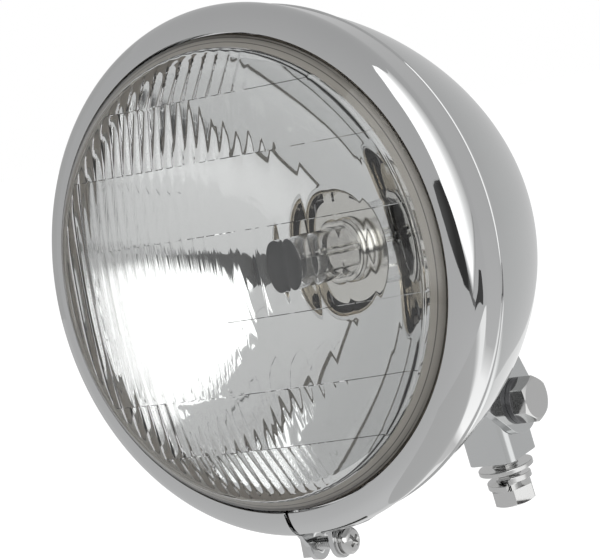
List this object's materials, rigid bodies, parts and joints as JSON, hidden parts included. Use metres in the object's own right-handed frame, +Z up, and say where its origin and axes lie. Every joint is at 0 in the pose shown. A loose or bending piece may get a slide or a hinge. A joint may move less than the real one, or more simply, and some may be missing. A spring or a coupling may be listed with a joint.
{
  "type": "motorcycle headlight",
  "caption": "Round chrome headlight with a fluted glass lens, a split clamped trim rim, a domed shell and a tilting block mount below.",
  "frame": {"origin": "centre of the swivel block's lower seat, on the axis of the mount bolt", "axes": "+Z up, -Y the way the lamp shines, +X to the right of someone who looks at the lens"},
  "size_m": [0.159, 0.1356, 0.1722],
  "materials": {
    "rim_chrome": "polished chrome plate",
    "shell_chrome": "polished chrome plate on a drawn steel shell",
    "mount_chrome": "chrome plate, a little softer than the shell's",
    "fasteners": "bright plated steel",
    "dark_washer": "dark spring steel",
    "lens_glass": "clear pressed glass with flutes",
    "bond": "grey sealing compound",
    "reflector_mirror": "pressed steel, aluminised to a mirror",
    "spring_steel": "plain spring steel",
    "bulb_glass": "clear glass",
    "bulb_black": "heat-proof black paint",
    "bulb_metal": "nickel-plated sheet",
    "bulb_base": "black moulded insulator",
    "contacts": "tinned brass",
    "boot_rubber": "moulded rubber",
    "grommet_rubber": "moulded rubber"
  },
  "bodies": {
    "mount": {"swivel_block": "mount_chrome", "mount_bolt": "fasteners", "mount_lock_washer": "fasteners", "mount_washer": "fasteners"},
    "lamp": {"rim": "rim_chrome", "lug_left": "rim_chrome", "lug_right": "rim_chrome", "clamp_screw": "fasteners", "clamp_spring_washer": "fasteners", "clamp_washer": "fasteners", "clamp_nut": "fasteners", "lens": "lens_glass", "lens_bond": "bond", "reflector": "reflector_mirror", "retaining_ring": "spring_steel", "retainer_clips": "spring_steel", "bulb_glass": "bulb_glass", "bulb_cap": "bulb_black", "bulb_shield": "bulb_metal", "bulb_filaments": "bulb_metal", "bulb_collar": "bulb_metal", "bulb_insulator": "bulb_base", "bulb_terminals": "contacts", "bulb_clip": "spring_steel", "boot": "boot_rubber", "shell": "shell_chrome", "wire_grommet": "grommet_rubber", "mount_ears": "mount_chrome", "pivot_bolt": "fasteners", "pivot_lock_washer": "dark_washer", "pivot_washer": "fasteners", "pivot_nut": "fasteners"}
  },
  "joints": [
    {"name": "tilt", "type": "hinge", "parent": "mount", "child": "lamp", "pos_m": [0, -0.00297, 0.01775], "axis": [1, 0, 0], "range_deg": [-30, 30]}
  ]
}
